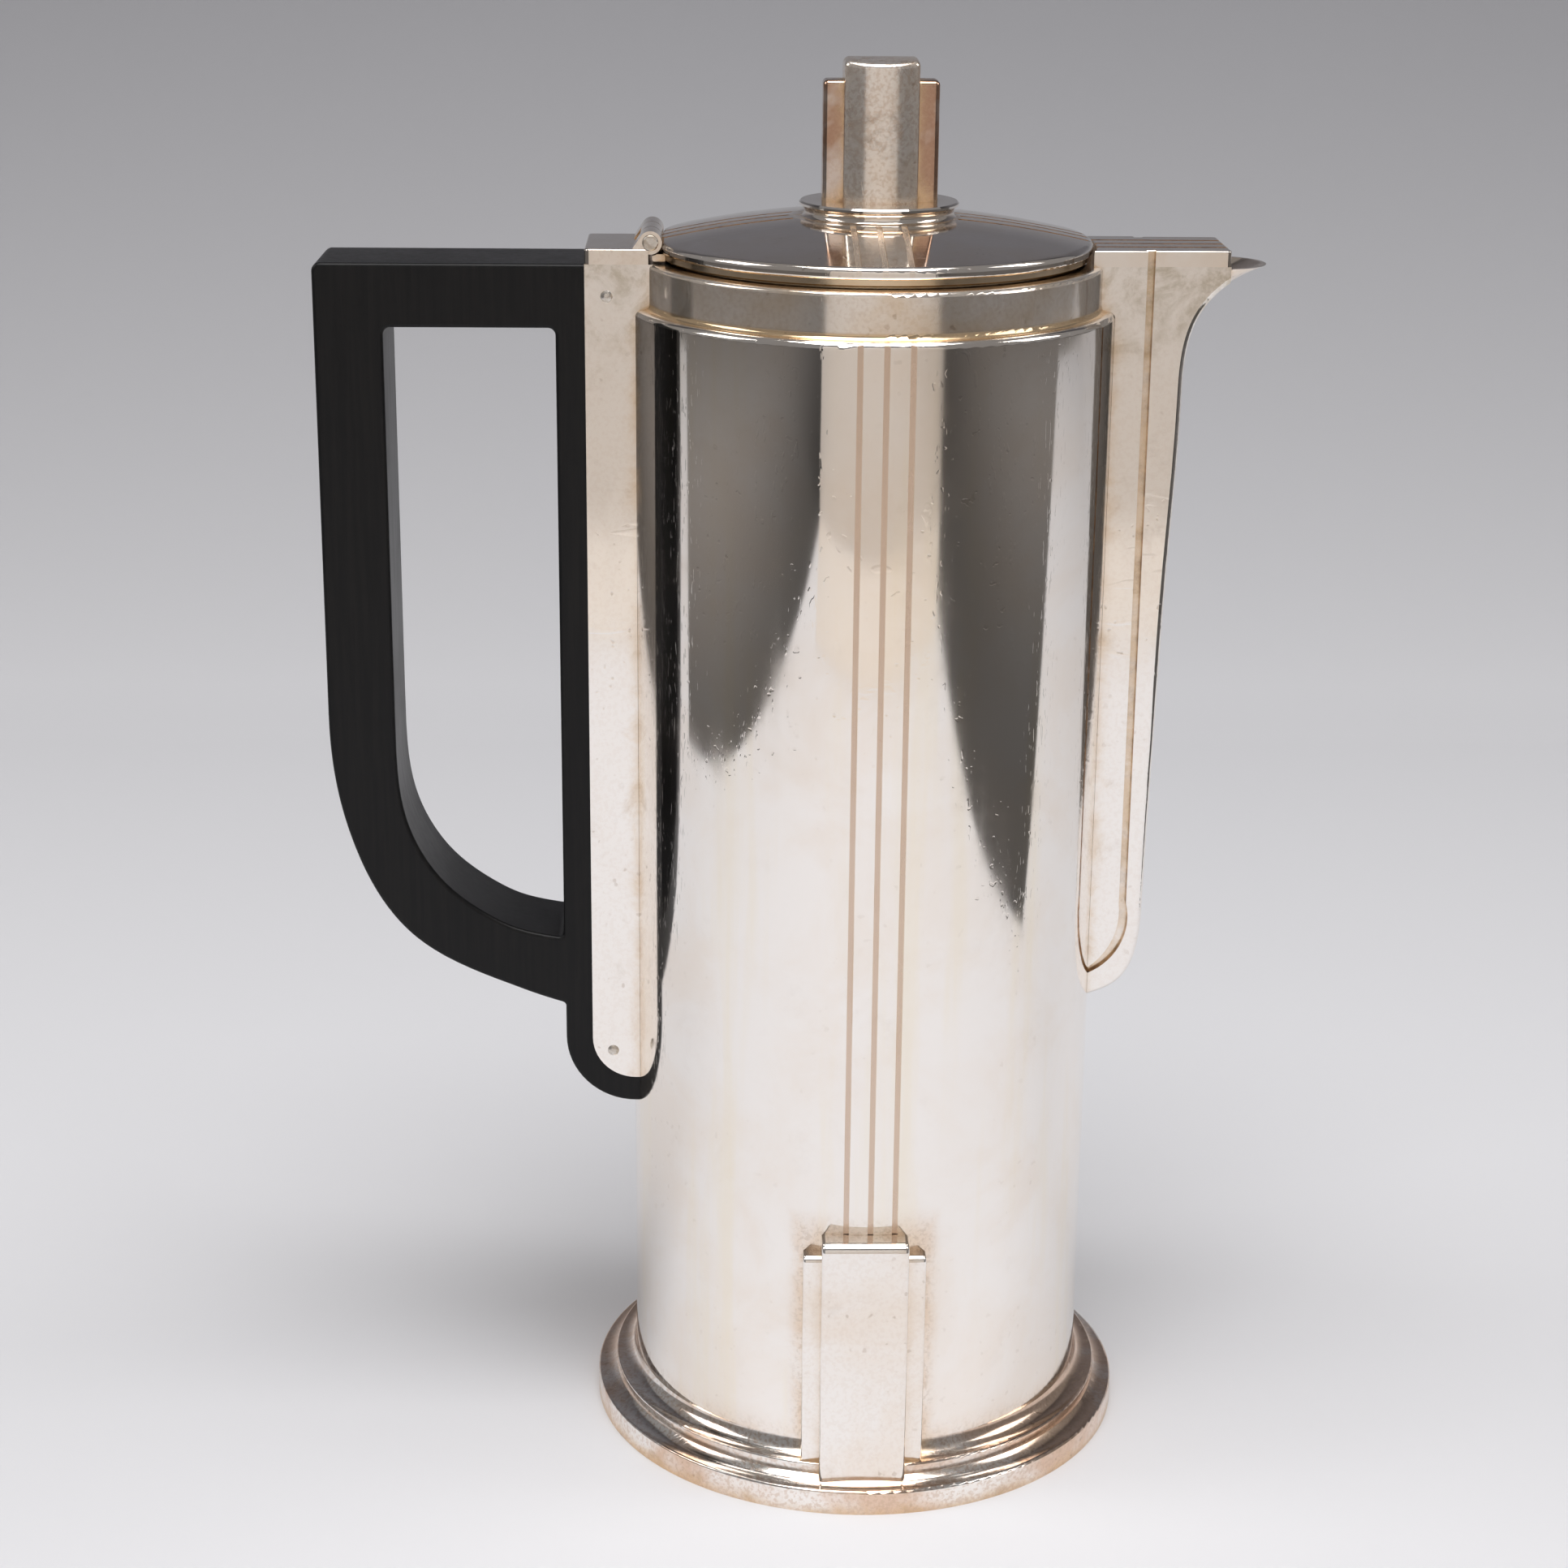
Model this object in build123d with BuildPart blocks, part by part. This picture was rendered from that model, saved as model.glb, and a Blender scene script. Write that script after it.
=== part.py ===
from build123d import *
import math

# Art Deco silver coffee pot: a plain cylinder on a stepped foot, a side spout, a black D-shaped handle
# and a lid hinged over the handle.  Millimetres.  +Z is up, the spout points along +X, the handle
# along -X.  The origin is the middle of the foot, on the surface the pot stands on.

# ---------------------------------------------------------------- driving dimensions
# body
body_radius = 45.0
body_wall = 1.0
body_foot_z = 6.2
shoulder_z = 224.2
shoulder_edge = 1.2
# neck and mouth
neck_radius = 42.5
neck_wall = 1.2
neck_top_z = 232.4
neck_edge = 0.8
neck_foot_round = 1.1
mouth_radius = 38.8
mouth_ring_depth = 1.6
# foot
foot_radius = 52.9
foot_edge_z = 4.4
foot_edge = 0.5
foot_rim_width = 2.3
foot_inner_radius = 43.5
foot_web = 1.2
step_radius = 49.15
step_z = 8.4
step_edge = 0.35
cove_top_z = 11.0
base_plate_thickness = 1.0
foot_sweep_middle = (50.6, 5.2)
cove_middle = (46.2, 9.0)
# engraved lines: groups of three, on the body, the lid and the spout cap
line_spacing = 4.6
body_lines_x = 0.3
line_width = 1.1
line_depth = 0.25
# pilasters, front and back of the body above the foot
pilaster_half_width = 8.25
pilaster_face = 49.8
pilaster_top_z = 55.3
pilaster_top_round = 1.8
pilaster_side_round = 0.8
pilaster_wing_half_width = 11.65
pilaster_wing_face = 47.0
pilaster_wing_top_z = 51.6
pilaster_wing_round = 1.2
pilaster_wing_side_round = 0.6
pilaster_x = -0.75
pilaster_root_y = 40.0
# lid
lid_radius = 40.3
lid_bead_bottom_z = 234.2
lid_bead_top_z = 236.4
lid_land_radius = 15.2
lid_land_z = 240.2
lid_thickness = 1.2
lid_band_radius = 39.6
lid_bottom_z = 232.9
lid_skirt_radius = 38.1
lid_skirt_wall = 0.9
lid_skirt_bottom_z = 228.5
lid_shoulder_radius = lid_radius - 1.0
dome_middle_radius = 28.0
dome_middle_z = 238.6
# finial
finial_x = 0.8
finial_base_radius = 14.7
finial_base_height = 2.8
finial_half_width = 6.85
finial_half_depth = 6.8
finial_face_crown = 2.0
finial_corner_round = 1.4
finial_top_z = 268.7
finial_top_crown = 1.0
finial_top_round = 1.1
finial_wing_half_width = 10.6
finial_wing_half_depth = 3.0
finial_wing_top_z = 264.7
finial_wing_round = 1.0
# lid hinge: axis along Y
hinge_x = -41.0
hinge_z = 236.3
knuckle_radius = 2.1
knuckle_clearance = 0.3
pin_radius = 1.4
pin_running_clearance = 0.05
hinge_half_length = 10.3
hinge_brace_length = 3.3
pin_end_overhang = 0.3
pin_end_round = 0.25
centre_knuckle_half_length = 3.4
knuckle_end_gap = 0.3
leaf_left_x = -40.7
leaf_half_length = 9.8
leaf_length = 4.0
leaf_edge = 0.45
# handle socket
socket_half_width = 10.5
cheek_thickness = 1.2
cheek_edge_x = -53.0
cheek_bottom_z = 72.8
cheek_corner_radius = 8.4
socket_top_z = 232.4
socket_cap_top_z = 235.2
socket_cap_end_x = -41.4
socket_cap_corner = 1.0
socket_cap_edge = 0.4
socket_web_x = -46.4
socket_web_bottom_z = 76.0
rivet_radius = 1.1
rivet_head_rise = 0.3
rivet_x = -49.0
rivet_heights = (226.6, 78.5)
# handle
handle_half_width = 10.3
handle_outer_x = -102.4
handle_inner_x = -89.8
handle_spine_x = -58.4
handle_loop_top_z = 220.7
handle_tail_radius = 13.6
handle_edge = 0.7
handle_outer_corner = 1.6
handle_loop_corner = 1.4
handle_joint_corner = 1.0
handle_loop_bottom_z = 102.0
handle_tail_joint_z = 88.3
handle_outer_bend = ((-98.6, 121.5), (-86.6, 101.6), (-68.0, 91.8))
handle_inner_bend = ((-86.6, 121.6), (-80.2, 112.2), (-71.8, 106.0))
# spout
bracket_half_width = 10.2
bracket_thickness = 1.6
bracket_edge_x = 49.4
bracket_bottom_z = 96.0
bracket_foot_x = 44.0
bracket_foot_start_z = 109.0
groove_width = 1.5
channel_half_width = 9.6
channel_wall = 1.2
channel_bottom_z = 90.0
channel_mouth_x = 64.8
spout_seam_z = 232.4
spout_cap_top_z = 235.3
spout_cap_arc_radius = 40.9
spout_cap_root_x = 30.0
spout_cap_corner = 0.8
lip_centre_x = 64.0
lip_length = 8.7
lip_half_width = 8.8
lip_rim_z = 231.9
lip_wall = 0.8
# strainer holes through the body wall behind the spout
strainer_hole_radius = 1.0
strainer_pitch = 3.6
strainer_columns = 4
strainer_rows = 7
strainer_centre_z = 112.0

pin_bore = pin_radius + pin_running_clearance
bracket_inner = bracket_half_width - bracket_thickness
cheek_inner = socket_half_width - cheek_thickness
finial_base_z = lid_land_z
finial_seat_z = finial_base_z + finial_base_height
far = 200.0
trim_x = -38.0
handle_bend_z = 147.0
nose_radius = 1.0


# ---------------------------------------------------------------- shared profiles
def foot_outline():
    """Outer profile of the foot and step, from the floor up to the body wall."""
    Line((foot_radius, 0), (foot_radius, foot_edge_z))
    ThreePointArc(
        (foot_radius, foot_edge_z),
        (foot_radius - 0.15, foot_edge_z + 0.35),
        (foot_radius - foot_edge, foot_edge_z + foot_edge),
    )
    ThreePointArc(
        (foot_radius - foot_edge, foot_edge_z + foot_edge),
        foot_sweep_middle,
        (step_radius, body_foot_z),
    )


def cove_outline():
    """Outer profile of the upper step: a short wall, a soft edge and a concave cove up to the body."""
    Line((step_radius, body_foot_z), (step_radius, step_z - step_edge))
    ThreePointArc(
        (step_radius, step_z - step_edge),
        (step_radius - 0.1, step_z - 0.1),
        (step_radius - step_edge, step_z),
    )
    ThreePointArc((step_radius - step_edge, step_z), cove_middle, (body_radius, cove_top_z))


def neck_foot():
    """Concave fillet where the neck rises from the shoulder."""
    hollow = neck_foot_round * (1 - math.sqrt(0.5))
    ThreePointArc(
        (neck_radius + neck_foot_round, shoulder_z),
        (neck_radius + hollow, shoulder_z + hollow),
        (neck_radius, shoulder_z + neck_foot_round),
    )


def upright_outline():
    """Outer profile of the body wall, shoulder and neck, from the cove to the neck's rim."""
    Line((body_radius, cove_top_z), (body_radius, shoulder_z - shoulder_edge))
    ThreePointArc(
        (body_radius, shoulder_z - shoulder_edge),
        (body_radius - 0.35, shoulder_z - 0.35),
        (body_radius - shoulder_edge, shoulder_z),
    )
    Line((body_radius - shoulder_edge, shoulder_z), (neck_radius + neck_foot_round, shoulder_z))
    neck_foot()
    Line((neck_radius, shoulder_z + neck_foot_round), (neck_radius, neck_top_z - neck_edge))
    ThreePointArc(
        (neck_radius, neck_top_z - neck_edge),
        (neck_radius - 0.23, neck_top_z - 0.23),
        (neck_radius - neck_edge, neck_top_z),
    )


def side_cylinder(x, z, radius, y_from, y_to, mode=Mode.ADD):
    """Cylinder along Y between two Y positions."""
    with BuildSketch(Plane.XZ.offset(-y_to)) as end_face:
        with Locations((x, z)):
            Circle(radius)
    extrude(end_face.sketch, amount=y_to - y_from, mode=mode)


def pair_of_cylinders(x, z, radius, y_inner, y_outer, mode=Mode.ADD):
    """Two equal cylinders along Y, mirrored about the middle plane."""
    side_cylinder(x, z, radius, -y_outer, -y_inner, mode)
    side_cylinder(x, z, radius, y_inner, y_outer, mode)


# The outside of the whole upright shape.  Everything soldered to the pot is trimmed to it.
with BuildPart() as pot_envelope:
    with BuildSketch(Plane.XZ):
        with BuildLine():
            foot_outline()
            cove_outline()
            upright_outline()
            Polyline((neck_radius - neck_edge, neck_top_z), (0, neck_top_z), (0, 0), (foot_radius, 0))
        make_face()
    revolve(axis=Axis.Z)

# The outside of the lid, for trimming the hinge leaf.
with BuildPart() as lid_envelope:
    with BuildSketch(Plane.XZ):
        with BuildLine():
            Polyline(
                (0, lid_skirt_bottom_z),
                (lid_band_radius, lid_skirt_bottom_z),
                (lid_band_radius, lid_bead_bottom_z),
                (lid_radius, lid_bead_bottom_z),
                (lid_radius, lid_bead_top_z),
                (0, lid_bead_top_z),
                close=True,
            )
        make_face()
    revolve(axis=Axis.Z)

# ---------------------------------------------------------------- foot
with BuildPart() as foot_lower_ring:
    with BuildSketch(Plane.XZ):
        with BuildLine():
            foot_outline()
            Polyline(
                (step_radius, body_foot_z),
                (foot_inner_radius, body_foot_z),
                (foot_inner_radius, body_foot_z - foot_web),
                (step_radius, body_foot_z - foot_web),
                (foot_radius - foot_rim_width, foot_edge_z - 0.6),
                (foot_radius - foot_rim_width, 0),
                (foot_radius, 0),
            )
        make_face()
    revolve(axis=Axis.Z)

with BuildPart() as foot_upper_step:
    with BuildSketch(Plane.XZ):
        with BuildLine():
            cove_outline()
            Polyline((body_radius, cove_top_z), (body_radius, body_foot_z), (step_radius, body_foot_z))
        make_face()
    revolve(axis=Axis.Z)

with BuildPart() as base_plate:
    with BuildSketch(Plane.XY.offset(body_foot_z)):
        Circle(body_radius - body_wall)
    extrude(amount=base_plate_thickness)

# ---------------------------------------------------------------- body
body_inner = body_radius - body_wall
neck_inner = neck_radius - neck_wall

with BuildPart() as body_shell:
    with BuildSketch(Plane.XZ):
        with BuildLine():
            Line((body_radius, body_foot_z), (body_radius, shoulder_z - shoulder_edge))
            ThreePointArc(
                (body_radius, shoulder_z - shoulder_edge),
                (body_radius - 0.35, shoulder_z - 0.35),
                (body_radius - shoulder_edge, shoulder_z),
            )
            Polyline(
                (body_radius - shoulder_edge, shoulder_z),
                (neck_inner, shoulder_z),
                (neck_inner, shoulder_z - body_wall),
                (body_inner - 0.6, shoulder_z - body_wall),
                (body_inner, shoulder_z - body_wall - 0.6),
                (body_inner, body_foot_z),
                (body_radius, body_foot_z),
            )
        make_face()
    revolve(axis=Axis.Z)
    # engraved lines, front and back, from the pilaster up to the shoulder
    with BuildSketch(Plane.XY.offset(pilaster_wing_top_z)):
        for side in (-1, 1):
            for index in (-1, 0, 1):
                across = body_lines_x + index * line_spacing
                surface = math.sqrt(body_radius**2 - across**2)
                with Locations((across, side * surface)):
                    Rectangle(line_width, 2 * line_depth)
    extrude(amount=shoulder_z - pilaster_wing_top_z, mode=Mode.SUBTRACT)
    # strainer holes
    with BuildSketch(Plane.YZ.offset(body_radius - 4)):
        with Locations((0, strainer_centre_z)):
            with GridLocations(strainer_pitch, strainer_pitch, strainer_columns, strainer_rows):
                Circle(strainer_hole_radius)
    extrude(amount=8, mode=Mode.SUBTRACT)

with BuildPart() as neck_collar:
    with BuildSketch(Plane.XZ):
        with BuildLine():
            neck_foot()
            Line((neck_radius, shoulder_z + neck_foot_round), (neck_radius, neck_top_z - neck_edge))
            ThreePointArc(
                (neck_radius, neck_top_z - neck_edge),
                (neck_radius - 0.23, neck_top_z - 0.23),
                (neck_radius - neck_edge, neck_top_z),
            )
            Polyline(
                (neck_radius - neck_edge, neck_top_z),
                (neck_inner, neck_top_z),
                (neck_inner, shoulder_z),
                (neck_radius + neck_foot_round, shoulder_z),
            )
        make_face()
    revolve(axis=Axis.Z)

with BuildPart() as mouth_ring:
    with BuildSketch(Plane.XZ):
        with BuildLine():
            Polyline(
                (neck_inner, neck_top_z),
                (mouth_radius + 0.4, neck_top_z),
                (mouth_radius, neck_top_z - 0.4),
                (mouth_radius, neck_top_z - mouth_ring_depth),
                (neck_inner, neck_top_z - mouth_ring_depth),
                close=True,
            )
        make_face()
    revolve(axis=Axis.Z)


# ---------------------------------------------------------------- pilasters
def pilaster_block(side):
    """Central block of a pilaster, side -1 for the front and +1 for the back."""
    with BuildSketch(Plane.XY) as plan:
        with Locations((pilaster_x, side * (pilaster_face + pilaster_root_y) / 2)):
            Rectangle(2 * pilaster_half_width, pilaster_face - pilaster_root_y)
    extrude(plan.sketch, amount=pilaster_top_z)


def pilaster_wings(side):
    """The two lower strips either side of a pilaster's central block."""
    width = pilaster_wing_half_width - pilaster_half_width
    offset_x = (pilaster_wing_half_width + pilaster_half_width) / 2
    middle_y = side * (pilaster_wing_face + pilaster_root_y) / 2
    with BuildSketch(Plane.XY) as plan:
        with Locations((pilaster_x - offset_x, middle_y), (pilaster_x + offset_x, middle_y)):
            Rectangle(width, pilaster_wing_face - pilaster_root_y)
    extrude(plan.sketch, amount=pilaster_wing_top_z)


def outer_top_edges(part, face_y, top_z):
    """Edges along X where the outer face meets the top."""
    return part.edges().filter_by(Axis.X).filter_by(
        lambda e: abs(e.center().Y - face_y) < 0.01 and abs(e.center().Z - top_z) < 0.01
    )


def side_corner(part, side_x):
    """Curved corner of one side face; a rounding started here runs down the edge and along the top."""
    return part.edges().filter_by(GeomType.CIRCLE).filter_by(lambda e: abs(e.center().X - side_x) < 0.01)


with BuildPart() as front_pilaster:
    pilaster_block(-1)
    fillet(outer_top_edges(front_pilaster, -pilaster_face, pilaster_top_z), pilaster_top_round)
    fillet(side_corner(front_pilaster, pilaster_x - pilaster_half_width), pilaster_side_round)
    fillet(side_corner(front_pilaster, pilaster_x + pilaster_half_width), pilaster_side_round)
    add(pot_envelope.part, mode=Mode.SUBTRACT)

with BuildPart() as front_pilaster_wings:
    pilaster_wings(-1)
    fillet(
        outer_top_edges(front_pilaster_wings, -pilaster_wing_face, pilaster_wing_top_z), pilaster_wing_round
    )
    fillet(
        side_corner(front_pilaster_wings, pilaster_x - pilaster_wing_half_width),
        pilaster_wing_side_round,
    )
    fillet(
        side_corner(front_pilaster_wings, pilaster_x + pilaster_wing_half_width),
        pilaster_wing_side_round,
    )
    add(pot_envelope.part, mode=Mode.SUBTRACT)

with BuildPart() as back_pilaster:
    pilaster_block(1)
    fillet(outer_top_edges(back_pilaster, pilaster_face, pilaster_top_z), pilaster_top_round)
    fillet(side_corner(back_pilaster, pilaster_x - pilaster_half_width), pilaster_side_round)
    fillet(side_corner(back_pilaster, pilaster_x + pilaster_half_width), pilaster_side_round)
    add(pot_envelope.part, mode=Mode.SUBTRACT)

with BuildPart() as back_pilaster_wings:
    pilaster_wings(1)
    fillet(
        outer_top_edges(back_pilaster_wings, pilaster_wing_face, pilaster_wing_top_z), pilaster_wing_round
    )
    fillet(
        side_corner(back_pilaster_wings, pilaster_x - pilaster_wing_half_width),
        pilaster_wing_side_round,
    )
    fillet(
        side_corner(back_pilaster_wings, pilaster_x + pilaster_wing_half_width),
        pilaster_wing_side_round,
    )
    add(pot_envelope.part, mode=Mode.SUBTRACT)


# ---------------------------------------------------------------- handle socket
def cheek_side(y_front):
    """Side view of a cheek plate: straight outer edge, one rounded bottom corner."""
    corner_x = cheek_edge_x + cheek_corner_radius
    corner_z = cheek_bottom_z + cheek_corner_radius
    middle = cheek_corner_radius * math.sqrt(0.5)
    with BuildSketch(Plane.XZ.offset(y_front)) as side_view:
        with BuildLine():
            Polyline((cheek_edge_x, socket_top_z), (cheek_edge_x, corner_z))
            ThreePointArc(
                (cheek_edge_x, corner_z), (corner_x - middle, corner_z - middle), (corner_x, cheek_bottom_z)
            )
            Polyline(
                (corner_x, cheek_bottom_z),
                (trim_x, cheek_bottom_z),
                (trim_x, socket_top_z),
                (cheek_edge_x, socket_top_z),
            )
        make_face()
    return side_view.sketch


def cheek_plate(y_start):
    """Cheek plate reaching forward (-Y) from the given distance in front of the middle plane."""
    extrude(cheek_side(y_start), amount=cheek_thickness)
    for height in rivet_heights:
        side_cylinder(rivet_x, height, rivet_radius, -far, far, Mode.SUBTRACT)
    add(pot_envelope.part, mode=Mode.SUBTRACT)


with BuildPart() as handle_cheek_front:
    cheek_plate(cheek_inner)

with BuildPart() as handle_cheek_back:
    cheek_plate(-socket_half_width)

with BuildPart() as handle_socket_web:
    with BuildSketch(Plane.XY.offset(socket_web_bottom_z)):
        with Locations(((socket_web_x + trim_x) / 2, 0)):
            Rectangle(trim_x - socket_web_x, 2 * cheek_inner)
    extrude(amount=socket_top_z - socket_web_bottom_z)
    add(pot_envelope.part, mode=Mode.SUBTRACT)

with BuildPart() as handle_socket_cap:
    with BuildSketch(Plane.XY.offset(socket_top_z)):
        with Locations(((cheek_edge_x + socket_cap_end_x) / 2, 0)):
            Rectangle(socket_cap_end_x - cheek_edge_x, 2 * socket_half_width)
    extrude(amount=socket_cap_top_z - socket_top_z)
    fillet(handle_socket_cap.edges().filter_by(Axis.Z).sort_by(Axis.X)[0:2], socket_cap_corner)
    fillet(handle_socket_cap.faces().sort_by(Axis.Z)[-1].edges().sort_by(Axis.X)[:-1], socket_cap_edge)
    side_cylinder(
        hinge_x,
        hinge_z,
        knuckle_radius + knuckle_clearance,
        -(centre_knuckle_half_length + knuckle_end_gap),
        centre_knuckle_half_length + knuckle_end_gap,
        Mode.SUBTRACT,
    )
    side_cylinder(hinge_x, hinge_z, pin_bore, -far, far, Mode.SUBTRACT)

with BuildPart() as handle_rivets:
    for height in rivet_heights:
        side_cylinder(rivet_x, height, rivet_radius, -socket_half_width, socket_half_width)
        with BuildSketch(Plane.XY.offset(height)):
            for side in (-1, 1):
                with BuildLine():
                    base = side * socket_half_width
                    peak = side * (socket_half_width + rivet_head_rise)
                    shoulder = side * (socket_half_width + 0.75 * rivet_head_rise)
                    Line((rivet_x, base), (rivet_x + rivet_radius, base))
                    ThreePointArc(
                        (rivet_x + rivet_radius, base),
                        (rivet_x + 0.6 * rivet_radius, shoulder),
                        (rivet_x, peak),
                    )
                    Line((rivet_x, peak), (rivet_x, base))
                make_face()
        revolve(axis=Axis((rivet_x, 0, height), (0, 1, 0)))

# ---------------------------------------------------------------- handle
tail_centre = (cheek_edge_x + cheek_corner_radius, cheek_bottom_z + cheek_corner_radius)
tail_middle = handle_tail_radius * math.sqrt(0.5)
tail_left_x = tail_centre[0] - handle_tail_radius

with BuildPart() as handle:
    with BuildSketch(Plane.XZ.offset(-handle_half_width)):
        with BuildLine():
            Polyline(
                (trim_x, tail_centre[1] - handle_tail_radius),
                (trim_x, socket_top_z),
                (handle_outer_x, socket_top_z),
                (handle_outer_x, handle_bend_z),
            )
            Spline(
                (handle_outer_x, handle_bend_z),
                *handle_outer_bend,
                (tail_left_x, handle_tail_joint_z),
                tangents=((0, -1), (1, -0.3)),
            )
            Line((tail_left_x, handle_tail_joint_z), (tail_left_x, tail_centre[1]))
            ThreePointArc(
                (tail_left_x, tail_centre[1]),
                (tail_centre[0] - tail_middle, tail_centre[1] - tail_middle),
                (tail_centre[0], tail_centre[1] - handle_tail_radius),
            )
            Line(
                (tail_centre[0], tail_centre[1] - handle_tail_radius),
                (trim_x, tail_centre[1] - handle_tail_radius),
            )
        make_face()
        with BuildLine():
            Polyline(
                (handle_spine_x, handle_loop_bottom_z),
                (handle_spine_x, handle_loop_top_z),
                (handle_inner_x, handle_loop_top_z),
                (handle_inner_x, handle_bend_z),
            )
            Spline(
                (handle_inner_x, handle_bend_z),
                *handle_inner_bend,
                (handle_spine_x, handle_loop_bottom_z),
                tangents=((0, -1), (1, -0.15)),
            )
        make_face(mode=Mode.SUBTRACT)
    extrude(amount=2 * handle_half_width)
    # soft corners of the loop, then a small round along both faces
    upright = handle.edges().filter_by(Axis.Y)
    fillet(upright.group_by(Axis.X)[0].sort_by(Axis.Z)[-1:], handle_outer_corner)
    upright = handle.edges().filter_by(Axis.Y)
    loop_top = upright.filter_by(lambda e: abs(e.center().Z - handle_loop_top_z) < 0.1)
    fillet(loop_top, handle_loop_corner)
    for corner_z in (handle_loop_bottom_z, handle_tail_joint_z):
        upright = handle.edges().filter_by(Axis.Y)
        corner = upright.filter_by(
            lambda e: abs(e.center().Z - corner_z) < 0.01 and abs(e.center().X - handle_spine_x) < 0.5
        )
        fillet(corner, handle_joint_corner)
    fillet(handle.faces().sort_by(Axis.Y)[0].edges(), handle_edge)
    fillet(handle.faces().sort_by(Axis.Y)[-1].edges(), handle_edge)
    # rebates for the cheek plates
    for y_start in (cheek_inner, -socket_half_width):
        extrude(cheek_side(y_start), amount=cheek_thickness, mode=Mode.SUBTRACT)
    # room for the socket's back strip, the rivets and the pot
    add(handle_socket_web.part, mode=Mode.SUBTRACT)
    for height in rivet_heights:
        side_cylinder(rivet_x, height, rivet_radius, -far, far, Mode.SUBTRACT)
    add(pot_envelope.part, mode=Mode.SUBTRACT)

# ---------------------------------------------------------------- lid hinge
outer_knuckle_start = centre_knuckle_half_length + knuckle_end_gap

with BuildPart() as hinge_outer_knuckles:
    pair_of_cylinders(hinge_x, hinge_z, knuckle_radius, outer_knuckle_start, hinge_half_length)
    for y_front in (outer_knuckle_start, -hinge_half_length):
        with BuildSketch(Plane.XZ.offset(y_front)):
            Polygon(
                (hinge_x - hinge_brace_length, socket_cap_top_z),
                (hinge_x - 1.75, hinge_z + 1.15),
                (hinge_x, hinge_z),
                (hinge_x, socket_cap_top_z),
                align=None,
            )
        extrude(amount=hinge_half_length - outer_knuckle_start)
    with BuildSketch(Plane.XY.offset(socket_top_z)):
        with Locations((socket_cap_end_x - 10, 0)):
            Rectangle(20, 4 * hinge_half_length)
    extrude(amount=socket_cap_top_z - socket_top_z, mode=Mode.SUBTRACT)
    side_cylinder(hinge_x, hinge_z, pin_bore, -far, far, Mode.SUBTRACT)

with BuildPart() as hinge_pin:
    pin_half_length = hinge_half_length + pin_end_overhang
    side_cylinder(hinge_x, hinge_z, pin_radius, -pin_half_length, pin_half_length)
    fillet(hinge_pin.edges().filter_by(GeomType.CIRCLE), pin_end_round)

with BuildPart() as lid_hinge_leaf:
    with BuildSketch(Plane.XY.offset(lid_bottom_z)):
        with Locations((leaf_left_x + leaf_length / 2, 0)):
            Rectangle(leaf_length, 2 * leaf_half_length)
    extrude(amount=lid_bead_bottom_z - lid_bottom_z)
    fillet(lid_hinge_leaf.edges().filter_by(Axis.Y).sort_by(Axis.X)[0:2], leaf_edge)
    with BuildSketch(Plane.XY.offset(lid_bottom_z)):
        with Locations((leaf_left_x + leaf_length / 2, 0)):
            Rectangle(leaf_length, 2 * centre_knuckle_half_length)
    extrude(amount=hinge_z - lid_bottom_z - 1.0)
    add(lid_envelope.part, mode=Mode.SUBTRACT)
    pair_of_cylinders(
        hinge_x,
        hinge_z,
        knuckle_radius + knuckle_clearance,
        centre_knuckle_half_length,
        far,
        Mode.SUBTRACT,
    )
    side_cylinder(hinge_x, hinge_z, knuckle_radius, -centre_knuckle_half_length, centre_knuckle_half_length)
    side_cylinder(hinge_x, hinge_z, pin_bore, -far, far, Mode.SUBTRACT)

# ---------------------------------------------------------------- lid
skirt_inner = lid_skirt_radius - lid_skirt_wall


def clear_the_hinge():
    """Cut a lid piece back around the hinge barrel."""
    pair_of_cylinders(
        hinge_x,
        hinge_z,
        knuckle_radius + knuckle_clearance,
        centre_knuckle_half_length,
        hinge_half_length + knuckle_end_gap,
        Mode.SUBTRACT,
    )
    side_cylinder(
        hinge_x,
        hinge_z,
        knuckle_radius,
        -centre_knuckle_half_length,
        centre_knuckle_half_length,
        Mode.SUBTRACT,
    )


# The thin layer of the dome that the engraved lines take away.
with BuildPart() as lid_engraving:
    with BuildSketch(Plane.XY.offset(lid_bottom_z)):
        for index in (-1, 0, 1):
            across = index * line_spacing
            reach = math.sqrt(lid_shoulder_radius**2 - across**2)
            start = math.sqrt(lid_land_radius**2 - across**2) + 0.6
            for side in (-1, 1):
                with Locations((side * (start + reach) / 2, across)):
                    Rectangle(reach - start, line_width)
                with Locations((across, side * (start + reach) / 2)):
                    Rectangle(line_width, reach - start)
    extrude(amount=finial_seat_z - lid_bottom_z)
    with BuildSketch(Plane.XZ):
        with BuildLine():
            ThreePointArc(
                (lid_land_radius, lid_land_z - line_depth),
                (dome_middle_radius, dome_middle_z - line_depth),
                (lid_shoulder_radius, lid_bead_top_z - line_depth),
            )
            Polyline(
                (lid_shoulder_radius, lid_bead_top_z - line_depth),
                (lid_radius, finial_seat_z),
                (lid_land_radius, finial_seat_z),
                (lid_land_radius, lid_land_z - line_depth),
            )
        make_face()
    revolve(axis=Axis.Z, mode=Mode.INTERSECT)

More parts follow.
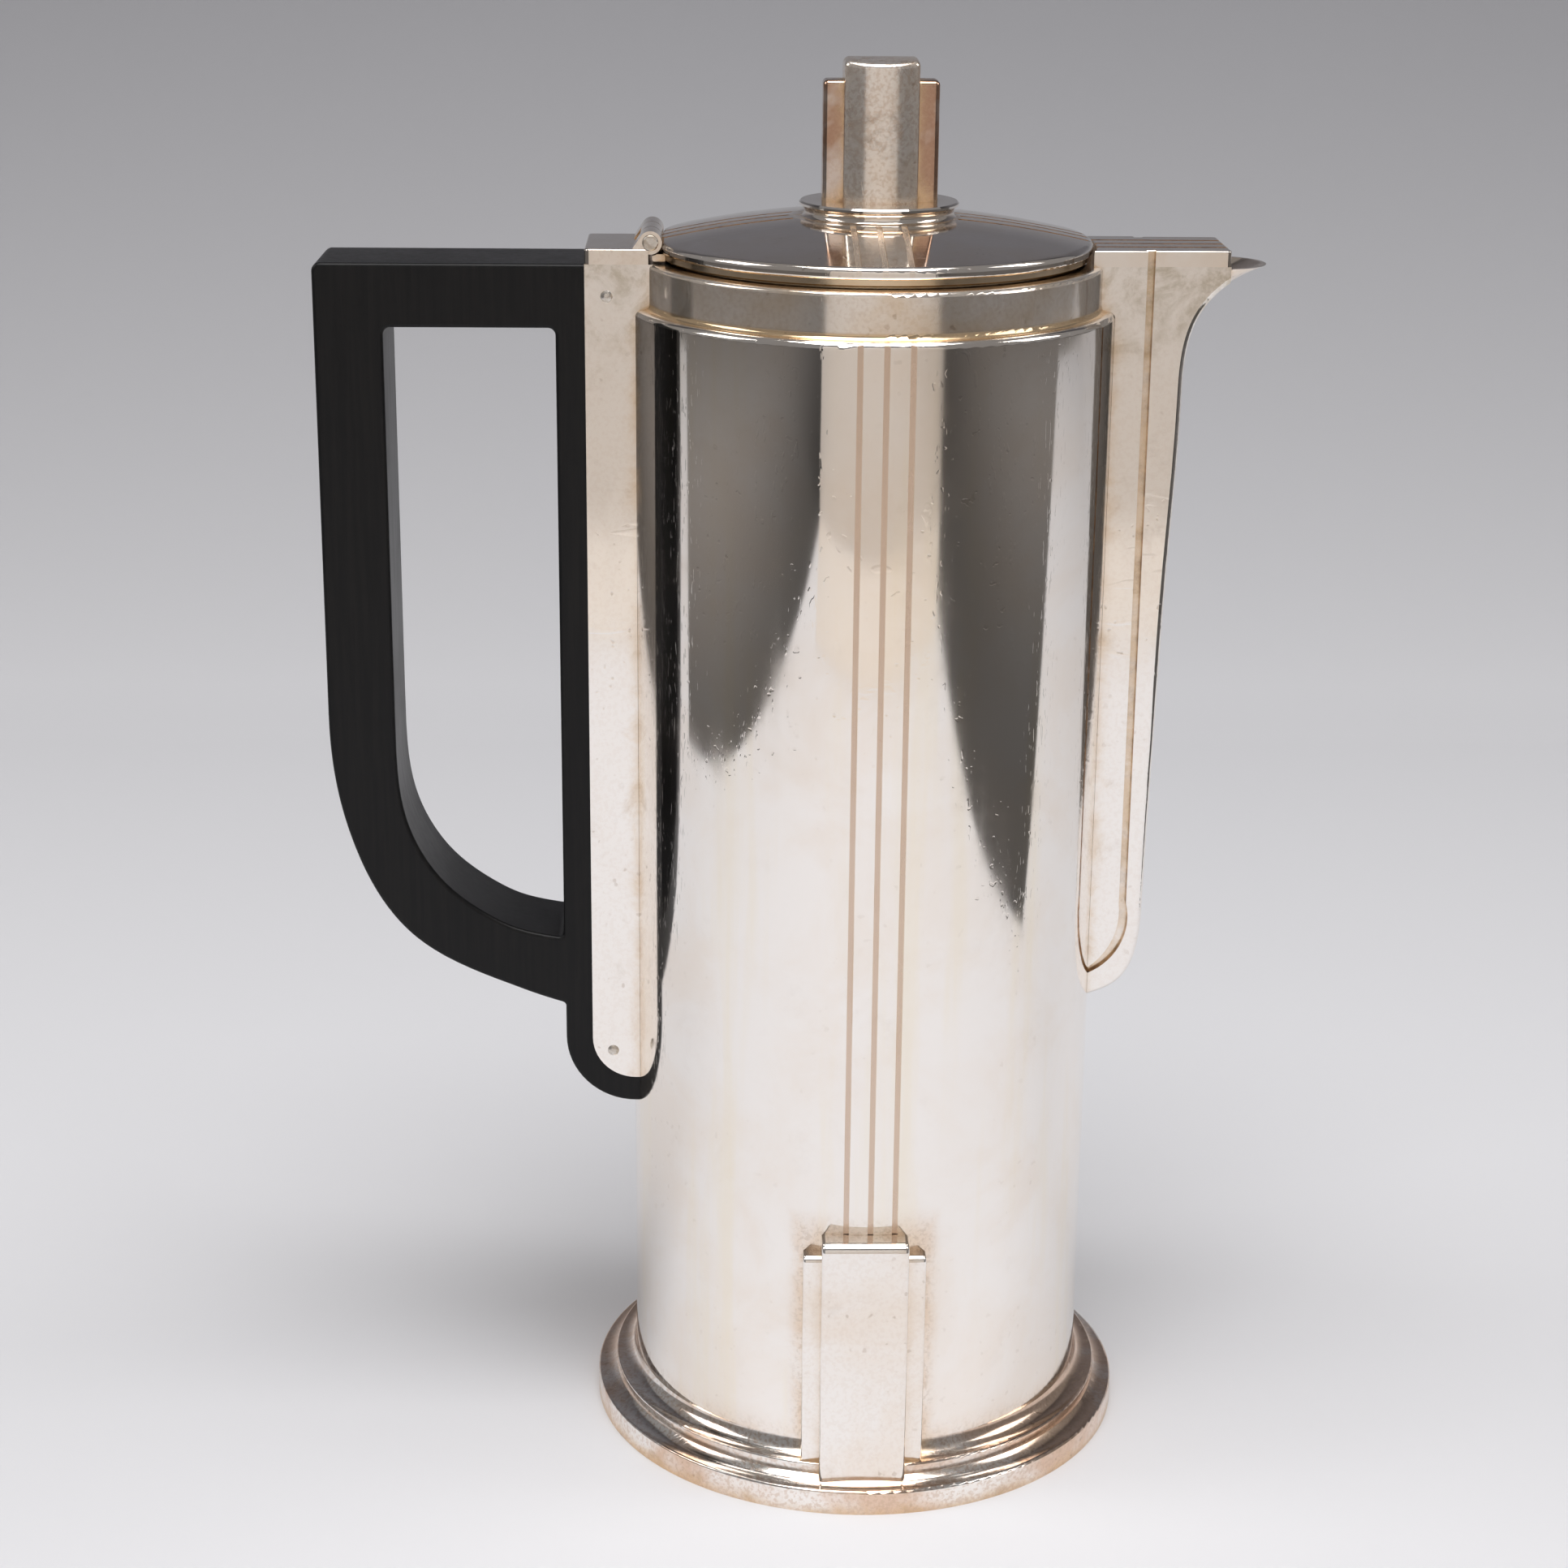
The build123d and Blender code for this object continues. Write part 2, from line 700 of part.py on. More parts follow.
with BuildPart() as lid_plate:
    with BuildSketch(Plane.XZ):
        with BuildLine():
            Line((0, lid_land_z), (lid_land_radius, lid_land_z))
            ThreePointArc(
                (lid_land_radius, lid_land_z),
                (dome_middle_radius, dome_middle_z),
                (lid_shoulder_radius, lid_bead_top_z),
            )
            ThreePointArc(
                (lid_shoulder_radius, lid_bead_top_z),
                (lid_radius - 0.25, lid_bead_top_z - 0.4),
                (lid_radius, lid_bead_top_z - 1.1),
            )
            Line((lid_radius, lid_bead_top_z - 1.1), (lid_radius, lid_bead_bottom_z + 0.5))
            ThreePointArc(
                (lid_radius, lid_bead_bottom_z + 0.5),
                (lid_radius - 0.15, lid_bead_bottom_z + 0.15),
                (lid_radius - 0.5, lid_bead_bottom_z),
            )
            Polyline(
                (lid_radius - 0.5, lid_bead_bottom_z),
                (skirt_inner, lid_bead_bottom_z),
                (skirt_inner, lid_bead_top_z - lid_thickness),
            )
            ThreePointArc(
                (skirt_inner, lid_bead_top_z - lid_thickness),
                (dome_middle_radius, dome_middle_z - lid_thickness),
                (lid_land_radius, lid_land_z - lid_thickness),
            )
            Polyline(
                (lid_land_radius, lid_land_z - lid_thickness),
                (0, lid_land_z - lid_thickness),
                (0, lid_land_z),
            )
        make_face()
    revolve(axis=Axis.Z)
    add(lid_engraving.part, mode=Mode.SUBTRACT)
    clear_the_hinge()

with BuildPart() as lid_bezel:
    with BuildSketch(Plane.XZ):
        with BuildLine():
            Polyline(
                (skirt_inner, lid_bead_bottom_z),
                (lid_band_radius, lid_bead_bottom_z),
                (lid_band_radius, lid_bottom_z + 0.3),
                (lid_band_radius - 0.3, lid_bottom_z),
                (lid_skirt_radius, lid_bottom_z),
                (lid_skirt_radius, lid_skirt_bottom_z + 0.3),
                (lid_skirt_radius - 0.3, lid_skirt_bottom_z),
                (skirt_inner, lid_skirt_bottom_z),
                close=True,
            )
        make_face()
    revolve(axis=Axis.Z)

# ---------------------------------------------------------------- finial
finial_axis = Axis((finial_x, 0, 0), (0, 0, 1))

with BuildPart() as finial_base:
    with BuildSketch(Plane.XZ):
        with BuildLine():
            rim = finial_x + finial_base_radius
            Polyline(
                (rim - 0.3, finial_seat_z),
                (finial_x, finial_seat_z),
                (finial_x, finial_base_z),
                (rim - 0.5, finial_base_z),
            )
            ThreePointArc(
                (rim - 0.5, finial_base_z), (rim - 0.95, finial_base_z + 1.2), (rim, finial_seat_z - 0.7)
            )
            Line((rim, finial_seat_z - 0.7), (rim, finial_seat_z - 0.3))
            Line((rim, finial_seat_z - 0.3), (rim - 0.3, finial_seat_z))
        make_face()
    revolve(axis=finial_axis)

with BuildPart() as finial_block:
    corner_y = finial_half_depth - finial_face_crown
    with BuildSketch(Plane((finial_x, 0, finial_seat_z))):
        with BuildLine():
            ThreePointArc(
                (-finial_half_width, -corner_y), (0, -finial_half_depth), (finial_half_width, -corner_y)
            )
            Line((finial_half_width, -corner_y), (finial_half_width, corner_y))
            ThreePointArc(
                (finial_half_width, corner_y), (0, finial_half_depth), (-finial_half_width, corner_y)
            )
            Line((-finial_half_width, corner_y), (-finial_half_width, -corner_y))
        make_face()
    extrude(amount=finial_top_z - finial_seat_z)
    fillet(finial_block.edges().filter_by(Axis.Z), finial_corner_round)
    # the top is slightly domed from front to back
    with BuildSketch(Plane.YZ.offset(finial_x - finial_half_width)) as above_dome:
        with BuildLine():
            ThreePointArc(
                (-finial_half_depth, finial_top_z - finial_top_crown),
                (0, finial_top_z),
                (finial_half_depth, finial_top_z - finial_top_crown),
            )
            Polyline(
                (finial_half_depth, finial_top_z - finial_top_crown),
                (finial_half_depth, finial_top_z + 1),
                (-finial_half_depth, finial_top_z + 1),
                (-finial_half_depth, finial_top_z - finial_top_crown),
            )
        make_face()
    extrude(above_dome.sketch, amount=2 * finial_half_width, mode=Mode.SUBTRACT)
    fillet(finial_block.faces().sort_by(Axis.Z)[-1].edges(), finial_top_round)

with BuildPart() as finial_wings:
    wing_width = finial_wing_half_width - finial_half_width
    wing_offset = (finial_wing_half_width + finial_half_width) / 2
    with BuildSketch(Plane((finial_x, 0, finial_seat_z))):
        with Locations((-wing_offset, 0), (wing_offset, 0)):
            Rectangle(wing_width, 2 * finial_wing_half_depth)
    extrude(amount=finial_wing_top_z - finial_seat_z)
    wing_corners = finial_wings.edges().filter_by(Axis.Z).filter_by(
        lambda e: abs(e.center().X - finial_x) > finial_half_width + 1
    )
    fillet(wing_corners, finial_wing_round)
    wing_tops = finial_wings.faces().filter_by(Axis.Z).group_by(Axis.Z)[-1].edges().filter_by(
        lambda e: abs(e.center().X - finial_x) > finial_half_width + 0.1
    )
    fillet(wing_tops, 0.9 * finial_wing_round)

# ---------------------------------------------------------------- spout
def bracket_side(y_front, edge_x, bottom_z):
    """Side view of a bracket plate, or of the recess it sits in: straight edge, rounded foot."""
    with BuildSketch(Plane.XZ.offset(y_front)) as side_view:
        with BuildLine():
            Polyline(
                (-trim_x, bottom_z),
                (-trim_x, spout_seam_z),
                (edge_x, spout_seam_z),
                (edge_x, bracket_foot_start_z),
            )
            ThreePointArc(
                (edge_x, bracket_foot_start_z), (edge_x - 1.3, bottom_z + 5.0), (bracket_foot_x, bottom_z)
            )
            Line((bracket_foot_x, bottom_z), (-trim_x, bottom_z))
        make_face()
    return side_view.sketch


def channel_side(y_front, inset, end_x):
    """Side view of the channel's outside, or of its hollow, with the flare up to the mouth."""
    end_z = 229.3 + inset / 2
    bottom = (-trim_x, channel_bottom_z - 1.0 + inset)
    with BuildSketch(Plane.XZ.offset(y_front)) as side_view:
        with BuildLine():
            Polyline(bottom, (-trim_x, spout_seam_z), (end_x, spout_seam_z), (end_x, end_z))
            Spline(
                (end_x, end_z),
                (59.1 - inset, 222.6 + inset / 2),
                (57.0 - inset, 207.0),
                (55.8 - inset, 176.0),
                (54.9 - inset, 144.0),
                (54.1 - inset, bracket_foot_start_z),
                (53.4 - inset, 99.9),
                (50.4 - inset, channel_bottom_z + 3.2 + inset / 2),
                (44.5, channel_bottom_z + inset),
                bottom,
            )
        make_face()
    return side_view.sketch


with BuildPart() as channel_envelope:
    extrude(channel_side(-channel_half_width, 0, channel_mouth_x), amount=2 * channel_half_width)
    long_edges = channel_envelope.edges().filter_by(GeomType.BSPLINE)
    fillet(long_edges, nose_radius)

with BuildPart() as spout_channel:
    add(channel_envelope.part)
    # the sides step back where the bracket plates lie, leaving the narrow groove in front of them
    for y_start in (bracket_inner, -channel_half_width - 1):
        recess = bracket_side(y_start, bracket_edge_x + groove_width, bracket_bottom_z - groove_width)
        extrude(recess, amount=channel_half_width + 1 - bracket_inner, mode=Mode.SUBTRACT)
    # hollow passage, open at the top to the lip
    hollow_half_width = bracket_inner - channel_wall
    hollow = channel_side(-hollow_half_width, channel_wall, channel_mouth_x + 2)
    extrude(hollow, amount=2 * hollow_half_width, mode=Mode.SUBTRACT)
    add(pot_envelope.part, mode=Mode.SUBTRACT)

with BuildPart() as spout_bracket_front:
    extrude(bracket_side(bracket_inner, bracket_edge_x, bracket_bottom_z), amount=bracket_thickness)
    add(pot_envelope.part, mode=Mode.SUBTRACT)

with BuildPart() as spout_bracket_back:
    extrude(bracket_side(-bracket_half_width, bracket_edge_x, bracket_bottom_z), amount=bracket_thickness)
    add(pot_envelope.part, mode=Mode.SUBTRACT)

with BuildPart() as spout_cap:
    with BuildSketch(Plane.XY.offset(spout_seam_z)):
        with Locations(((spout_cap_root_x + bracket_edge_x) / 2, 0)):
            Rectangle(bracket_edge_x - spout_cap_root_x, 2 * bracket_half_width)
        with Locations((bracket_edge_x + groove_width / 2, 0)):
            Rectangle(groove_width, 2 * bracket_inner)
        with Locations(((bracket_edge_x + groove_width + channel_mouth_x) / 2, 0)):
            Rectangle(channel_mouth_x - bracket_edge_x - groove_width, 2 * channel_half_width)
        Circle(spout_cap_arc_radius, mode=Mode.SUBTRACT)
    extrude(amount=spout_cap_top_z - spout_seam_z)
    fillet(spout_cap.edges().filter_by(Axis.Z).sort_by(Axis.X)[-2:], spout_cap_corner)
    fillet(spout_cap.faces().sort_by(Axis.Z)[-1].edges(), 0.3)
    with BuildSketch(Plane.XY.offset(spout_cap_top_z - line_depth)):
        for index in (-1, 0, 1):
            with Locations((55, index * line_spacing)):
                Rectangle(40, line_width)
    extrude(amount=1, mode=Mode.SUBTRACT)

# the lip is boat-shaped: each level is an ellipse (height, centre x, half-length, half-width)
lip_levels = (
    (221.8, 57.0, 3.1, 2.5),
    (227.0, 58.0, 6.2, 6.2),
    (229.1, 60.0, 6.9, 7.8),
    (lip_rim_z, lip_centre_x, lip_length, lip_half_width),
)
lip_floor_z = 229.8

with BuildPart() as spout_lip:
    for level_z, centre_x, half_length, half_width in lip_levels:
        with BuildSketch(Plane.XY.offset(level_z)):
            with Locations((centre_x, 0)):
                Ellipse(half_length, half_width)
    loft()
    with BuildSketch(Plane.XY.offset(lip_floor_z)):
        with Locations((lip_centre_x - 3, 0)):
            Ellipse(lip_length - 2.5, lip_half_width - 2.2)
    with BuildSketch(Plane.XY.offset(lip_rim_z)):
        with Locations((lip_centre_x, 0)):
            Ellipse(lip_length - lip_wall, lip_half_width - lip_wall)
    loft(mode=Mode.SUBTRACT)
    add(channel_envelope.part, mode=Mode.SUBTRACT)


nodes = {
    "foot_lower_ring": foot_lower_ring,
    "foot_upper_step": foot_upper_step,
    "base_plate": base_plate,
    "body_shell": body_shell,
    "neck_collar": neck_collar,
    "mouth_ring": mouth_ring,
    "front_pilaster": front_pilaster,
    "front_pilaster_wings": front_pilaster_wings,
    "back_pilaster": back_pilaster,
    "back_pilaster_wings": back_pilaster_wings,
    "handle_cheek_front": handle_cheek_front,
    "handle_cheek_back": handle_cheek_back,
    "handle_socket_web": handle_socket_web,
    "handle_socket_cap": handle_socket_cap,
    "handle_rivets": handle_rivets,
    "handle": handle,
    "hinge_outer_knuckles": hinge_outer_knuckles,
    "hinge_pin": hinge_pin,
    "lid_hinge_leaf": lid_hinge_leaf,
    "lid_plate": lid_plate,
    "lid_bezel": lid_bezel,
    "finial_base": finial_base,
    "finial_block": finial_block,
    "finial_wings": finial_wings,
    "spout_channel": spout_channel,
    "spout_bracket_front": spout_bracket_front,
    "spout_bracket_back": spout_bracket_back,
    "spout_cap": spout_cap,
    "spout_lip": spout_lip,
}
for name, piece in nodes.items():
    piece.part.label = name
    export_step(piece.part, "parts/" + name + ".step")
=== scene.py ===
import math

import bpy
from mathutils import Matrix, Vector

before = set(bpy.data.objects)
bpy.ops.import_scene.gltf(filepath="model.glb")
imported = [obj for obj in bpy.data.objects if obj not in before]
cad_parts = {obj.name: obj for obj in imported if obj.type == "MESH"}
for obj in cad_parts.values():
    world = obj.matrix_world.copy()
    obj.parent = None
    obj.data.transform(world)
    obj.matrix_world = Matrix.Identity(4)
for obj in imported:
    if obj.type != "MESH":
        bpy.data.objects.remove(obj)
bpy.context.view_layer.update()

# ------------------------------------------------------------------ camera, in metres, radians and mm
CAMERA_PLACE = Vector((-0.0296, -0.5605, 0.3120))
CAMERA_YAW = math.radians(1.424)
CAMERA_PITCH = math.radians(-17.966)
CAMERA_ROLL = math.radians(0.529)
CAMERA_LENS = 69.39
CAMERA_SENSOR = 36.0
CAMERA_NEAREST = 0.01

# ------------------------------------------------------------------ studio, in metres
# the paper: a tongue running forward under the pot from a wide sweep behind it
PAPER_OUTLINE = (
    (-0.37, -0.80),
    (0.36, -0.80),
    (0.33, -0.07),
    (1.30, 0.06),
    (1.30, 0.45),
    (-1.30, 0.45),
    (-1.30, 0.19),
    (-0.51, 0.04),
)
SWEEP_HALF_WIDTH = 1.3
SWEEP_BEND = 0.45
SWEEP_WALL = 0.95
SWEEP_TOP = 1.5
SWEEP_STEPS = 32
# the dark table round the paper
TABLE_DROP = 0.003
TABLE_REACH = 2.5
# the beige card standing beyond the camera and the mat lying before it
CARD_LEFT = -0.38
CARD_RIGHT = 0.45
CARD_Y = -0.80
CARD_HEIGHT = 0.65
MAT_OUTLINE = ((-0.38, -0.795), (0.45, -0.795), (0.33, -0.60), (-0.30, -0.60))
MAT_LIFT = 0.0006
# lamps: name, place, the point each one faces, width, height, watts
LAMPS = (
    ("overhead", (0.0, -0.35, 1.25), (0, -0.20, 0), 0.9, 0.7, 11.4),
    ("left_box", (-1.1, -0.1, 0.95), (0, 0.0, 0.1), 0.5, 0.6, 3.2),
    ("right_box", (1.1, -0.05, 0.95), (0, 0.0, 0.1), 0.5, 0.6, 2.8),
)

# ------------------------------------------------------------------ places on the pot, in metres
# engraved lines, in groups of three
LINE_SPACING = 0.0046
LINE_HALF_WIDTH = 0.00055
BODY_LINES_X = 0.0003
BODY_LINES_BOTTOM = 0.050
# the pilasters and the tarnish that surrounds them and the foot
PILASTER_X = -0.00075
PILASTER_HALF_WIDTH = 0.0117
PILASTER_TOP = 0.0548
PILASTER_NEAREST_Y = 0.035
HALO_REACH = 0.0075
FOOT_HALO = (0.010, 0.018)
# golden solder at the root of the neck, and the mottled band near the top of the plates
NECK_SOLDER_TOP = 0.2250
SOLDER_FADE = 0.0006
PLATE_STAIN = (0.205, 0.236)
# warm film grows between these two heights
FILM_RISE = (0.09, 0.215)

# ------------------------------------------------------------------ colours
SILVER = (0.965, 0.925, 0.885)
WARM_FILM = (0.89, 0.77, 0.65)
BEIGE_FILM = (0.84, 0.70, 0.55)
ROSY_FILM = (0.80, 0.60, 0.47)
COPPER = (0.50, 0.31, 0.22)
STRAW = (0.93, 0.83, 0.64)
VEIL = (0.80, 0.61, 0.45)
PALE_LINE = (0.92, 0.82, 0.72)
TAN = (0.63, 0.45, 0.33)
GOLDEN = (0.74, 0.54, 0.34)
SOLDER = (0.72, 0.53, 0.33)
OLIVE = (0.42, 0.34, 0.20)
BROWN = (0.30, 0.19, 0.11)
GILT_LIGHT = (0.90, 0.73, 0.53)
GILT_DEEP = (0.80, 0.61, 0.40)
GILT_DIRT = (0.25, 0.17, 0.10)
PIN_LIGHT = (0.74, 0.70, 0.65)
PIN_DEEP = (0.52, 0.45, 0.37)
EBONY_DARK = (0.0055, 0.0055, 0.0062)
EBONY_GRAIN = (0.0095, 0.009, 0.009)
# the paper's colour darkens up the sweep to the second colour: painted shade standing in for the
# fall-off of the lamps' light
PAPER_LOW = (0.80, 0.797, 0.82)
PAPER_PAINTED_SHADE = (0.20, 0.198, 0.215)
# the table is lighter towards its sides, sooner on the left: painted light
TABLE_MIDDLE = (0.082, 0.078, 0.075)
TABLE_SIDES_PAINTED_LIGHT = (0.30, 0.285, 0.275)
CARD = (0.80, 0.75, 0.70)
ROOM = (0.22, 0.215, 0.215)


# ------------------------------------------------------------------ mesh and node helpers
def link(obj):
    bpy.context.scene.collection.objects.link(obj)
    return obj


def mesh_object(name, vertices, faces, material, smooth=True):
    mesh = bpy.data.meshes.new(name)
    mesh.from_pydata([tuple(v) for v in vertices], [], faces)
    mesh.validate()
    mesh.materials.append(material)
    for polygon in mesh.polygons:
        polygon.use_smooth = smooth
    return link(bpy.data.objects.new(name, mesh))


class Nodes:
    """A material's node tree, with short calls to add nodes and join them."""

    def __init__(self, name):
        self.material = bpy.data.materials.new(name)
        self.material.use_nodes = True
        self.tree = self.material.node_tree
        self.shader = self.tree.nodes["Principled BSDF"]

    def add(self, kind, **settings):
        node = self.tree.nodes.new(kind)
        for key, value in settings.items():
            setattr(node, key, value)
        return node

    def join(self, source, target):
        self.tree.links.new(source, target)

    def place(self, scale=(1, 1, 1), turn=(0, 0, 0)):
        """Object coordinates in metres, scaled and turned."""
        coordinates = self.add("ShaderNodeTexCoord")
        mapping = self.add("ShaderNodeMapping")
        mapping.inputs["Scale"].default_value = scale
        mapping.inputs["Rotation"].default_value = turn
        self.join(coordinates.outputs["Object"], mapping.inputs["Vector"])
        return mapping.outputs["Vector"]

    def coordinates(self):
        """The sockets of x, y and z in object coordinates."""
        split = self.add("ShaderNodeSeparateXYZ")
        self.join(self.place(), split.inputs["Vector"])
        return [split.outputs[axis] for axis in "XYZ"]

    def noise(self, scale, detail, roughness, stretch=(1, 1, 1), turn=(0, 0, 0), distortion=0.0):
        """Noise from 0 to 1.  scale is the number of grains to a metre."""
        texture = self.add("ShaderNodeTexNoise")
        texture.inputs["Scale"].default_value = scale
        texture.inputs["Detail"].default_value = detail
        texture.inputs["Roughness"].default_value = roughness
        texture.inputs["Distortion"].default_value = distortion
        self.join(self.place(stretch, turn), texture.inputs["Vector"])
        return texture.outputs["Fac"]

    def remap(self, value, low, high, to_low=0.0, to_high=1.0):
        """A smooth step from to_low, at low and below, to to_high, at high and above."""
        node = self.add("ShaderNodeMapRange", interpolation_type="SMOOTHSTEP")
        node.inputs["From Min"].default_value = low
        node.inputs["From Max"].default_value = high
        node.inputs["To Min"].default_value = to_low
        node.inputs["To Max"].default_value = to_high
        self.join(value, node.inputs["Value"])
        return node.outputs["Result"]

    def maths(self, operation, first, second=0.0):
        """One operation on one or two values.  Each is a number or a socket."""
        node = self.add("ShaderNodeMath", operation=operation)
        for socket, value in zip(node.inputs, (first, second)):
            if isinstance(value, (int, float)):
                socket.default_value = value
            else:
                self.join(value, socket)
        return node.outputs["Value"]

    def mix(self, factor, first, second):
        """From the first colour, at factor 0, to the second one, at factor 1."""
        node = self.add("ShaderNodeMix", data_type="RGBA")
        self.join(factor, node.inputs["Factor"])
        for socket, value in ((node.inputs["A"], first), (node.inputs["B"], second)):
            if isinstance(value, tuple):
                socket.default_value = (*value, 1)
            else:
                self.join(value, socket)
        return node.outputs["Result"]

    def crevices(self, distance):
        """1 deep in corners and 0 on open faces."""
        node = self.add("ShaderNodeAmbientOcclusion", samples=6)
        node.inputs["Distance"].default_value = distance
        return self.maths("SUBTRACT", 1.0, node.outputs["AO"])

    def bump(self, height, strength, distance, below=None):
        """Relief from a height socket, laid over the normal of a relief below it."""
        node = self.add("ShaderNodeBump")
        node.inputs["Strength"].default_value = strength
        node.inputs["Distance"].default_value = distance
        self.join(height, node.inputs["Height"])
        if below is not None:
            self.join(below, node.inputs["Normal"])
        return node.outputs["Normal"]


# ------------------------------------------------------------------ masks on the pot
def near_line(m, coordinate, middle):
    """1 inside the three engraved lines that are evenly spaced across one coordinate."""
    offset = m.maths("SUBTRACT", coordinate, middle)
    steps = m.maths("ROUND", m.maths("DIVIDE", offset, LINE_SPACING))
    nearest = m.maths("MULTIPLY", steps, LINE_SPACING)
    distance = m.maths("ABSOLUTE", m.maths("SUBTRACT", offset, nearest))
    inside = m.remap(distance, 0.8 * LINE_HALF_WIDTH, LINE_HALF_WIDTH, 1.0, 0.0)
    within = m.maths("LESS_THAN", m.maths("ABSOLUTE", offset), 1.4 * LINE_SPACING)
    return m.maths("MULTIPLY", inside, within)


# All masks from here on are called alike, with a node tree and the sockets of x, y and z.
def body_lines(m, x, y, z):
    above_pilaster = m.maths("GREATER_THAN", z, BODY_LINES_BOTTOM)
    return m.maths("MULTIPLY", near_line(m, x, BODY_LINES_X), above_pilaster)


def lid_lines(m, x, y, z):
    """Lines to all four sides of the finial, on the upper face only."""
    sideways = m.maths("GREATER_THAN", m.maths("ABSOLUTE", x), m.maths("ABSOLUTE", y))
    lengthways = m.maths("SUBTRACT", 1.0, sideways)
    across_y = m.maths("MULTIPLY", near_line(m, y, 0.0), sideways)
    across_x = m.maths("MULTIPLY", near_line(m, x, 0.0), lengthways)
    facing = m.add("ShaderNodeSeparateXYZ")
    m.join(m.add("ShaderNodeTexCoord").outputs["Normal"], facing.inputs["Vector"])
    on_top = m.maths("GREATER_THAN", facing.outputs["Z"], 0.0)
    return m.maths("MULTIPLY", m.maths("MAXIMUM", across_x, across_y), on_top)


def cap_lines(m, x, y, z):
    return near_line(m, y, 0.0)


def body_halo(m, x, y, z):
    """Strongest against the pilasters and the foot, fading out over a few millimetres."""
    from_middle = m.maths("ABSOLUTE", m.maths("SUBTRACT", x, PILASTER_X))
    aside = m.maths("MULTIPLY", m.maths("SUBTRACT", from_middle, PILASTER_HALF_WIDTH), 1.8)
    above = m.maths("SUBTRACT", z, PILASTER_TOP)
    beyond = m.maths("MAXIMUM", m.maths("MAXIMUM", aside, above), 0.0)
    on_face = m.maths("GREATER_THAN", m.maths("ABSOLUTE", y), PILASTER_NEAREST_Y)
    round_pilaster = m.maths("MULTIPLY", m.remap(beyond, 0.0, HALO_REACH, 1.0, 0.0), on_face)
    above_foot = m.remap(z, *FOOT_HALO, 0.9, 0.0)
    return m.maths("MAXIMUM", round_pilaster, above_foot)


